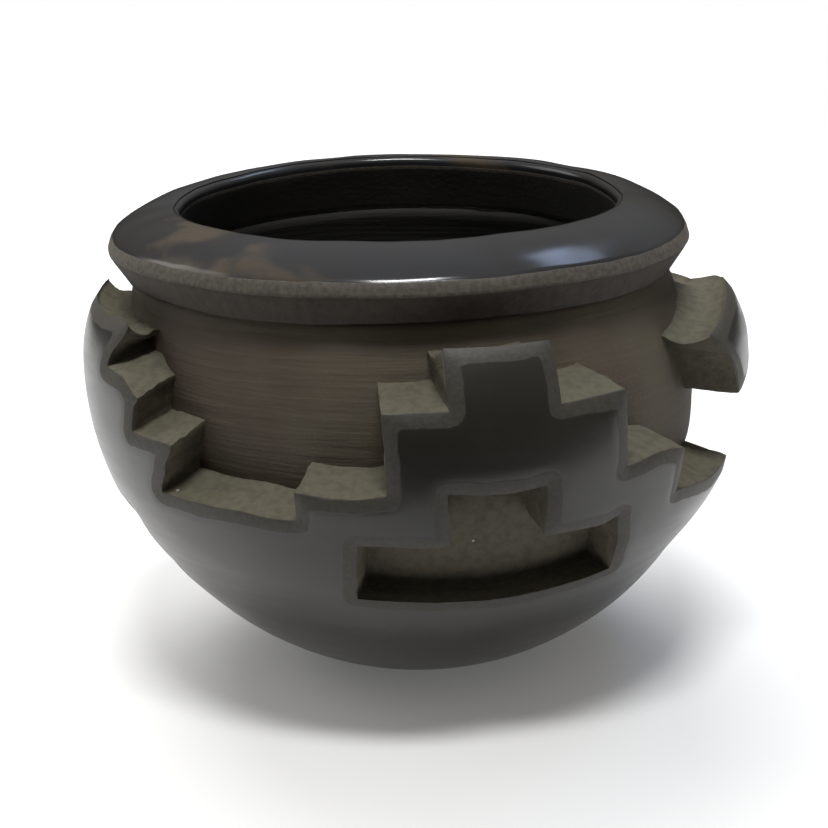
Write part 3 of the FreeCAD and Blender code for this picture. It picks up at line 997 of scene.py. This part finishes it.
@dataclass
class NeckWall:
    """The three neck coils as one scraped wall, with the pot's whole inside."""

    form: PotForm
    tree: CoilTree
    scraped_gap: float = 0.9
    inner_gap: float = 3.2
    columns: int = 300

    def section(self) -> tuple[np.ndarray, np.ndarray]:
        """The closed section, up the outside and down the inside, and its edge distances."""
        form = self.form
        joint, base = form.bowl_height, form.rim_base
        climb = np.arange(joint, base + 1.0, self.scraped_gap)
        outer = np.stack([form.wall(climb), climb], axis=-1)
        fall = np.arange(base, joint + form.flank_rise, -self.inner_gap)
        inner = np.stack([form.inside(fall), fall], axis=-1)
        flank_top = joint + form.flank_rise
        inner_joint = (form.bowl_radius - form.bowl_wall, joint)
        flank_corner = (float(form.inside(np.array(flank_top))), flank_top)
        flank = run_of(flank_corner, inner_joint, gap=self.inner_gap)
        floor = (form.foot_radius, form.floor_height)
        centre = form.round_through(floor, inner_joint, form.bowl_inner_arc)
        sweep = np.linspace(joint, form.floor_height, 12)
        reach = centre[0] + np.sqrt(form.bowl_inner_arc**2 - (sweep - centre[1]) ** 2)
        bowl = np.stack([reach, sweep], axis=-1)
        under = run_of((form.foot_radius + 1.0, form.floor_height - 1.5), tuple(outer[0]), gap=8.0)
        section = np.concatenate([outer, inner, flank, bowl, under])
        edge = np.full(len(section), INSIDE_EDGE)
        edge[: len(outer)] = SCRAPED_EDGE
        return section, edge

    def build(self, clay: bpy.types.Material) -> bpy.types.Object:
        """Turns the wall and roughens it with the scraper's marks."""
        section, edge = self.section()
        sizes = {
            "Columns": self.columns,
            "Sway": 0.9 * MM,
            "Sway Waves": 34.0,
            "Scrape": 0.5 * MM,
            "Scrape Waves": 420.0,
            "Seed": 2.0,
            "Shift": self.form.neck_shift * MM,
            "Back Lift": self.form.rim_lift,
            "Still Height": self.form.ledge_height * MM,
            "Full Height": self.form.rim_base * MM,
            "Clay": clay,
        }
        return self.tree.turn("neck_wall", section, edge, sizes)


@dataclass
class HeavyRim:
    """The turned-out lip: underside, matt band, burnished crown, rounded mouth."""

    form: PotForm
    tree: CoilTree
    lip_rise: float = 7.0
    band_height: float = 3.5
    band_lean: float = 1.0
    mouth_radius: float = 57.4
    crown_arc: float = 26.0
    crown_border: float = 3.2
    mouth_round: float = 1.6
    joint_gap: float = 1.5
    corner_gap: float = 0.35
    columns: int = 320

    def section(self) -> tuple[np.ndarray, np.ndarray]:
        """The closed section and each point's distance from the crown's lower edge."""
        form = self.form
        base = form.rim_base
        neck = float(form.wall(np.array(base)))
        lip = (form.lip_radius, base + self.lip_rise)
        band = (lip[0] - self.band_lean, lip[1] + self.band_height)
        mouth = (self.mouth_radius, form.rim_top)
        skirt = (neck + self.joint_gap + 0.3, base + 0.1)
        root = (neck - 3.0, base + 1.4)
        underside = run_of(root, (neck + self.joint_gap - 0.4, base + 1.2), skirt, gap=1.2)
        cone = run_of(skirt, (lip[0] - self.corner_gap, lip[1] - self.corner_gap), gap=1.0)
        face_top = (band[0] + 0.12, band[1] - self.corner_gap)
        face = run_of((lip[0], lip[1] + self.corner_gap), face_top, gap=0.8)
        centre = form.round_through(band, mouth, self.crown_arc)
        start = math.atan2(band[1] - centre[1], band[0] - centre[0])
        end = math.atan2(mouth[1] - centre[1], mouth[0] - centre[0])
        angles = np.linspace(start, end, 30)[1:-2]
        crown = centre + self.crown_arc * np.stack([np.cos(angles), np.sin(angles)], axis=-1)
        turn = np.radians(np.linspace(70.0, 185.0, 7))
        middle = np.array([mouth[0] + self.mouth_round, mouth[1] - self.mouth_round - 0.15])
        lip_round = middle + self.mouth_round * np.stack([np.cos(turn), np.sin(turn)], axis=-1)
        throat = (float(form.inside(np.array(base))), base)
        inner = run_of((mouth[0] + 0.5, mouth[1] - 4.0), throat, root, gap=2.0)
        section = np.concatenate([underside, cone, face, crown, lip_round, inner])
        matt = len(underside) + len(cone) + len(face)
        steps = np.linalg.norm(np.diff(section, axis=0, prepend=section[:1]), axis=1)
        along = np.cumsum(steps)
        edge = along - along[matt - 1] + self.crown_border
        edge[: matt - len(face)] = UNDERSIDE_EDGE
        edge[matt - len(face) : matt] = BAND_EDGE
        last = len(section) - len(inner)
        edge[last:] = INSIDE_EDGE
        return section, edge

    def build(self, clay: bpy.types.Material) -> bpy.types.Object:
        """Turns the rim, with the sway of a lip that was pinched out by hand."""
        section, edge = self.section()
        sizes = {
            "Columns": self.columns,
            "Sway": 2.6 * MM,
            "Sway Waves": 24.0,
            "Scrape": 0.0,
            "Scrape Waves": 100.0,
            "Seed": 5.0,
            "Shift": self.form.neck_shift * MM,
            "Back Lift": self.form.rim_lift,
            "Still Height": 0.0,
            "Full Height": 1.0 * MM,
            "Clay": clay,
        }
        return self.tree.turn("heavy_rim", section, edge, sizes)


# ---------------------------------------------------------------- finishes


def start_clay(
    name: str,
) -> tuple[bpy.types.Material, bpy.types.NodeTree, bpy.types.NodeSocket, bpy.types.NodeSocket]:
    """Starts a clay's material.

    Args:
        name: the material's name.

    Returns:
        The material, its empty tree, the object's coordinates and the edge distance.
    """
    made = bpy.data.materials.new(name)
    made.use_nodes = True
    tree = made.node_tree
    tree.nodes.clear()
    spot = add_node(tree, "ShaderNodeTexCoord").outputs["Object"]
    edge = add_node(tree, "ShaderNodeAttribute", {"attribute_name": EDGE}).outputs["Fac"]
    return made, tree, spot, edge


@dataclass(frozen=True)
class BurnishedClay:
    """Reduced black clay, rubbed with a stone before firing: a soft graphite gloss with the
    stone's level strokes in it, a dull border where the stone stopped, raw knife cuts below."""

    name: str = "black clay, stone burnished"
    face: str = "2b2924"
    face_cloud: str = "24221e"
    # A warm tan in random clouds: a painted reflection.
    bloom: str = "38342d"
    border: str = "3d3a32"
    cut: str = "5a5647"
    cut_dark: str = "4d493d"
    # The pot's inside, painted near black: painted shade.
    hollow: str = "171512"
    fleck: str = "b9b6ab"
    face_rough: float = 0.30
    border_rough: float = 0.60
    cut_rough: float = 0.85
    border_mm: float = 3.4
    bloom_from: float = 0.58

    @classmethod
    def for_rim(cls) -> "BurnishedClay":
        """The rim's, rubbed longest: nearly a mirror, with a painted tan reflection in random clouds.
        """
        return cls(
            name="black clay, burnished bright",
            face="26272a",
            face_cloud="1d1b1a",
            bloom="443b2f",
            border="544e45",
            cut="443e36",
            cut_dark="39342d",
            face_rough=0.19,
            border_rough=0.72,
            bloom_from=0.56,
        )

    def material(self) -> bpy.types.Material:
        """Builds the finish's node tree.

        Returns:
            The material.
        """
        made, tree, spot, edge = start_clay(self.name)
        flat = {"Vector": spot, "Scale": (0.12, 0.12, 1.0)}
        level = add_node(tree, "ShaderNodeMapping", None, flat)
        # The stone's strokes lie level, 2 mm wide; raw cuts are dusty in grains of that size.
        waves = (
            (level, 420.0, 3.0),
            (spot, 460.0, 4.0),
            (spot, 22.0, 3.0),
            (spot, 140.0, 2.0),
            (spot, 900.0, 4.0),
            (spot, 2600.0, 2.0),
        )
        strokes, dust, clouds, shake, grit, grain = (
            add_node(tree, "ShaderNodeTexNoise", None, dict(zip(NOISE, wave))) for wave in waves
        )
        # The burnished field's edge wanders by about half a millimetre.
        centred = add_node(tree, "ShaderNodeMath", SUBTRACT, {0: shake, 1: 0.5})
        wander = add_node(tree, "ShaderNodeMath", MULTIPLY, {0: centred, 1: 1.6})
        placed = add_node(tree, "ShaderNodeMath", ADD, {0: edge, 1: wander})
        field = {0: placed, 1: self.border_mm - 0.25, 2: self.border_mm + 0.25}
        burnished = add_node(tree, "ShaderNodeMapRange", SOFT_STEP, field)
        below = {0: edge, 1: -0.9, 2: -0.25, 3: 1.0, 4: 0.0}
        cut = add_node(tree, "ShaderNodeMapRange", SOFT_STEP, below)
        inside = add_node(tree, "ShaderNodeMapRange", SOFT_STEP, {0: edge, **INSIDE_SHADE_RAMP})

        parts = {0: clouds, 1: 0.35, 2: 0.7}
        cloudy = add_node(tree, "ShaderNodeMapRange", SOFT_STEP, parts)
        tones = {0: cloudy, 6: linear(self.face), 7: linear(self.face_cloud)}
        dark_face = add_node(tree, "ShaderNodeMix", COLOURS, tones).outputs[2]
        # Painted reflection: random clouds of warm tan over the face, standing in for a warm
        # reflection.
        wide = {"Vector": spot, "Scale": 31.0, "Detail": 4.0, "Distortion": 0.6}
        reflection_noise = add_node(tree, "ShaderNodeTexNoise", None, wide)
        reflection_clouds = {0: reflection_noise, 1: self.bloom_from, 2: self.bloom_from + 0.12, 3: 0.0, 4: 0.85}
        bloomed = add_node(tree, "ShaderNodeMapRange", SOFT_STEP, reflection_clouds)
        tones = {0: bloomed, 6: dark_face, 7: linear(self.bloom)}
        face = add_node(tree, "ShaderNodeMix", COLOURS, tones).outputs[2]
        parts = {0: grit, 1: 0.3, 2: 0.7, 3: 0.0, 4: 0.5}
        gritty = add_node(tree, "ShaderNodeMapRange", SOFT_STEP, parts)
        tones = {0: gritty, 6: linear(self.border), 7: linear(self.face_cloud)}
        border = add_node(tree, "ShaderNodeMix", COLOURS, tones).outputs[2]
        parts = {0: dust, 1: 0.34, 2: 0.72}
        dusted = add_node(tree, "ShaderNodeMapRange", SOFT_STEP, parts)
        tones = {0: dusted, 6: linear(self.cut), 7: linear(self.cut_dark)}
        raw = add_node(tree, "ShaderNodeMix", COLOURS, tones).outputs[2]
        # Painted shade: the pot's inside takes the near-black hollow colour.
        tones = {0: inside, 6: raw, 7: linear(self.hollow)}
        shaded = add_node(tree, "ShaderNodeMix", COLOURS, tones).outputs[2]
        tones = {0: burnished, 6: border, 7: face}
        skin = add_node(tree, "ShaderNodeMix", COLOURS, tones).outputs[2]
        tones = {0: cut, 6: skin, 7: shaded}
        whole = add_node(tree, "ShaderNodeMix", COLOURS, tones).outputs[2]
        # Lime flecks, under half a millimetre, a few to the square centimetre.
        spread = {"Vector": spot, "Scale": 170.0, "Randomness": 1.0}
        cells = add_node(tree, "ShaderNodeTexVoronoi", None, spread)
        picked = add_node(tree, "ShaderNodeSeparateColor", None, {0: cells.outputs["Color"]})
        rare = add_node(tree, "ShaderNodeMapRange", SOFT_STEP, {0: picked, 1: 0.965, 2: 0.97})
        around = {0: cells.outputs["Distance"], 1: 0.05, 2: 0.085, 3: 1.0, 4: 0.0}
        dot = add_node(tree, "ShaderNodeMapRange", SOFT_STEP, around)
        flecked = add_node(tree, "ShaderNodeMath", MULTIPLY, {0: rare, 1: dot})
        tones = {0: flecked, 6: whole, 7: linear(self.fleck)}
        colour = add_node(tree, "ShaderNodeMix", COLOURS, tones).outputs[2]

        parts = {0: strokes, 1: 0.3, 2: 0.75, 3: self.face_rough - 0.02, 4: self.face_rough + 0.03}
        rubbed = add_node(tree, "ShaderNodeMapRange", SOFT_STEP, parts)
        shares = {0: burnished, 2: self.border_rough, 3: rubbed}
        rough_skin = add_node(tree, "ShaderNodeMix", NUMBERS, shares)
        shares = {0: cut, 2: rough_skin, 3: self.cut_rough}
        rough = add_node(tree, "ShaderNodeMix", NUMBERS, shares)

        # Raw clay is grainy, the dull border half as much, and the rubbed face hardly at all.
        raised = add_node(tree, "ShaderNodeMath", MULTIPLY, {0: grit, 1: 0.28})
        pricked = add_node(tree, "ShaderNodeMath", MULTIPLY, {0: grain, 1: 0.12})
        tooth = add_node(tree, "ShaderNodeMath", ADD, {0: raised, 1: pricked})
        dull = add_node(tree, "ShaderNodeMath", SUBTRACT, {0: 1.0, 1: burnished})
        half = add_node(tree, "ShaderNodeMath", MULTIPLY, {0: dull, 1: 0.5})
        open_clay = add_node(tree, "ShaderNodeMath", ADD, {0: half, 1: cut})
        amount = add_node(tree, "ShaderNodeMath", ADD, {0: open_clay, 1: 0.06})
        rise = add_node(tree, "ShaderNodeMath", MULTIPLY, {0: tooth, 1: amount})
        stroked = add_node(tree, "ShaderNodeMath", MULTIPLY, {0: strokes, 1: 0.02})
        relief = add_node(tree, "ShaderNodeMath", ADD, {0: stroked, 1: rise})
        lifted = {"Strength": 0.55, "Distance": 0.8 * MM, "Height": relief}
        bump = add_node(tree, "ShaderNodeBump", None, lifted)
        surface = {"Base Color": colour, "Roughness": rough, "IOR": 1.52, "Normal": bump}
        clay = add_node(tree, "ShaderNodeBsdfPrincipled", None, surface)
        add_node(tree, "ShaderNodeOutputMaterial", None, {"Surface": clay})
        return made


@dataclass(frozen=True)
class ScrapedClay:
    """The same clay left dull from the scraper: level drag marks about a millimetre apart,
    smoke-brown clouds, and no gloss."""

    name: str = "black clay, scraped"
    body: str = "524a3d"
    smoke: str = "493f34"
    olive: str = "55503e"
    # The neck wall's inside, painted near black: painted shade.
    hollow: str = "141210"
    rough: float = 0.78

    def material(self) -> bpy.types.Material:
        """Builds the finish's node tree.

        Returns:
            The material.
        """
        made, tree, spot, edge = start_clay(self.name)
        flat = {"Vector": spot, "Scale": (0.06, 0.06, 1.0)}
        level = add_node(tree, "ShaderNodeMapping", None, flat)
        # The scraper's drags are about a millimetre apart.
        waves = ((level, 950.0, 3.0), (spot, 1100.0, 4.0), (spot, 26.0, 4.0), (spot, 60.0, 3.0))
        drags, grit, clouds, patches = (
            add_node(tree, "ShaderNodeTexNoise", None, dict(zip(NOISE, wave))) for wave in waves
        )
        smoky = add_node(tree, "ShaderNodeMapRange", SOFT_STEP, {0: clouds, 1: 0.38, 2: 0.62})
        tones = {0: smoky, 6: linear(self.body), 7: linear(self.smoke)}
        tint = add_node(tree, "ShaderNodeMix", COLOURS, tones).outputs[2]
        parts = {0: patches, 1: 0.55, 2: 0.75, 3: 0.0, 4: 0.7}
        pale = add_node(tree, "ShaderNodeMapRange", SOFT_STEP, parts)
        tones = {0: pale, 6: tint, 7: linear(self.olive)}
        patched = add_node(tree, "ShaderNodeMix", COLOURS, tones).outputs[2]
        parts = {0: drags, 1: 0.52, 2: 0.74, 3: 0.0, 4: 0.4}
        dragged = add_node(tree, "ShaderNodeMapRange", SOFT_STEP, parts)
        tones = {0: dragged, 6: patched, 7: linear(self.olive)}
        outer = add_node(tree, "ShaderNodeMix", COLOURS, tones).outputs[2]
        # Painted shade: the pot's inside takes the near-black hollow colour.
        inside = add_node(tree, "ShaderNodeMapRange", SOFT_STEP, {0: edge, **INSIDE_SHADE_RAMP})
        tones = {0: inside, 6: outer, 7: linear(self.hollow)}
        colour = add_node(tree, "ShaderNodeMix", COLOURS, tones).outputs[2]
        ridges = add_node(tree, "ShaderNodeMath", MULTIPLY, {0: drags, 1: 0.5})
        tooth = add_node(tree, "ShaderNodeMath", MULTIPLY, {0: grit, 1: 0.22})
        relief = add_node(tree, "ShaderNodeMath", ADD, {0: ridges, 1: tooth})
        lifted = {"Strength": 0.6, "Distance": 0.7 * MM, "Height": relief}
        bump = add_node(tree, "ShaderNodeBump", None, lifted)
        surface = {"Base Color": colour, "Roughness": self.rough, "IOR": 1.5, "Normal": bump}
        clay = add_node(tree, "ShaderNodeBsdfPrincipled", None, surface)
        add_node(tree, "ShaderNodeOutputMaterial", None, {"Surface": clay})
        return made


# ---------------------------------------------------------------- studio


@dataclass
class Studio:
    """A pale floor, soft light and the camera. Metres."""

    camera_back: float = 0.433
    camera_up: float = 0.1977
    camera_side: float = -0.0015
    camera_tilt: float = 17.13
    camera_roll: float = -0.026
    lens: float = 71.24
    sensor: float = 36.0
    floor_front: float = -0.18
    floor_back: float = 1.0
    floor_side: float = 4.0

    def build(self) -> None:
        """Sets the camera, the floor, the lights and the surroundings."""
        self.add_camera()
        self.add_floor()
        middle = (0.0, 0.0, 0.05)
        self.add_light("overhead", (-0.25, 0.95, 1.35), (1.4, 1.0), middle, 27.0, glossy=False)
        self.add_light("left_window", (-1.3, 0.35, 0.9), (0.9, 0.9), middle, 4.6)
        self.add_light("rim_strip", (0.02, -0.43, 1.15), (0.42, 0.16), (0.02, -0.07, 0.115), 10.0)
        self.add_light("sky", (0.6, 0.45, 1.1), (0.5, 0.3), (0.0, 0.0, 0.1), 2.2, "b8cdf0")
        self.add_surroundings()

    def add_camera(self) -> None:
        """The camera, in front, looking slightly down."""
        data = bpy.data.cameras.new("camera")
        data.sensor_width = self.sensor
        data.lens = self.lens
        data.clip_start = 0.01
        camera = bpy.data.objects.new("camera", data)
        bpy.context.scene.collection.objects.link(camera)
        camera.location = (self.camera_side, -self.camera_back, self.camera_up)
        tilt = Euler((math.radians(90.0 - self.camera_tilt), 0.0, 0.0)).to_matrix()
        roll = Euler((0.0, 0.0, self.camera_roll)).to_matrix()
        camera.rotation_euler = (tilt @ roll).to_euler()
        bpy.context.scene.camera = camera

    def add_floor(self) -> None:
        """A pale table top that ends a hand's width in front of the pot, with a faint glow: painted
        light that lifts its shadows.
        """
        side, front, back = self.floor_side, self.floor_front, self.floor_back
        corners = np.array(
            [[-side, front, 0.0], [side, front, 0.0], [side, back, 0.0], [-side, back, 0.0]]
        )
        floor = mesh_object("floor", corners / MM, [[0, 1, 2, 3]])
        made = bpy.data.materials.new("pale matt board, faintly glowing")
        made.use_nodes = True
        shader = made.node_tree.nodes["Principled BSDF"]
        shader.inputs["Base Color"].default_value = linear("e2e2e2")
        # Painted light: the floor glows faintly, lifting the pot's shadow on it.
        shader.inputs["Emission Color"].default_value = linear("ffffff")
        shader.inputs["Emission Strength"].default_value = 0.1
        shader.inputs["Roughness"].default_value = 0.9
        shader.inputs["Specular IOR Level"].default_value = 0.1
        floor.data.materials.append(made)

    def add_light(
        self,
        name: str,
        place: tuple[float, float, float],
        size: tuple[float, float],
        target: tuple[float, float, float],
        power: float,
        colour: str = "ffffff",
        glossy: bool = True,
    ) -> None:
        """A soft rectangular light.

        Args:
            name: the light's name.
            place: where it hangs.
            size: its width and height.
            target: the point it faces.
            power: its watts.
            colour: its sRGB hex colour.
            glossy: whether burnished clay mirrors it.
        """
        data = bpy.data.lights.new(name, "AREA")
        data.shape = "RECTANGLE"
        data.size, data.size_y = size
        data.energy = power
        data.color = linear(colour)[:3]
        light = bpy.data.objects.new(name, data)
        bpy.context.scene.collection.objects.link(light)
        light.visible_glossy = glossy
        light.location = place
        light.rotation_euler = (Vector(target) - Vector(place)).to_track_quat("-Z", "Y").to_euler()

    def add_surroundings(self) -> None:
        """Pale to the eye, dim to the clay, brighter overhead than at the horizon."""
        world = bpy.data.worlds.new("surroundings")
        world.use_nodes = True
        tree = world.node_tree
        tree.nodes.clear()
        eye = add_node(tree, "ShaderNodeLightPath").outputs["Is Camera Ray"]
        way = add_node(tree, "ShaderNodeTexCoord").outputs["Generated"]
        up = add_node(tree, "ShaderNodeSeparateXYZ", None, {0: way}).outputs["Z"]
        strength = add_node(tree, "ShaderNodeMapRange", None, {0: up, 1: 0.0, 2: 1.0, 3: 0.05, 4: 0.5})
        glow = {"Color": linear("f2efe8"), "Strength": strength}
        dim = add_node(tree, "ShaderNodeBackground", None, glow)
        white = {"Color": linear("ffffff"), "Strength": 1.0}
        pale = add_node(tree, "ShaderNodeBackground", None, white)
        both = add_node(tree, "ShaderNodeMixShader", None, {0: eye, 1: dim, 2: pale})
        add_node(tree, "ShaderNodeOutputWorld", None, {"Surface": both})
        bpy.context.scene.world = world
        bpy.context.scene.view_settings.view_transform = "Standard"


# ---------------------------------------------------------------- the whole


def dress(piece: bpy.types.Object, clay: bpy.types.Material) -> None:
    """Gives a piece its one clay."""
    piece.data.materials.clear()
    piece.data.materials.append(clay)


def main() -> None:
    """Builds the studio and the pot, piece by piece."""
    logging.basicConfig(level=logging.INFO, format="%(name)s: %(message)s")
    form = PotForm.from_frame()
    burnished = BurnishedClay().material()
    bright = BurnishedClay.for_rim().material()
    scraped = ScrapedClay().material()
    Studio().build()

    body = CarvedBody(form).build()
    dress(body, burnished)
    blocks = ("front_step_pyramid", "left_step_pyramid", "back_step_pyramid")
    hand_over(body, Slot.BURNISHED, "moulded_bowl", "belly_coil", *blocks)

    bar = RaisedBar.ruled(form).build()
    dress(bar, burnished)
    hand_over(bar, Slot.BURNISHED, "right_raised_bar")

    coils = CoilTree()
    wall = NeckWall(form, coils).build(scraped)
    hand_over(wall, Slot.SCRAPED, "neck_coil_lower", "neck_coil_middle", "neck_coil_upper")
    rim = HeavyRim(form, coils).build(bright)
    hand_over(rim, Slot.BURNISHED, "rim_coil")

    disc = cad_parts["base_disc"]
    dress(disc, scraped)


if __name__ == "__main__":
    main()
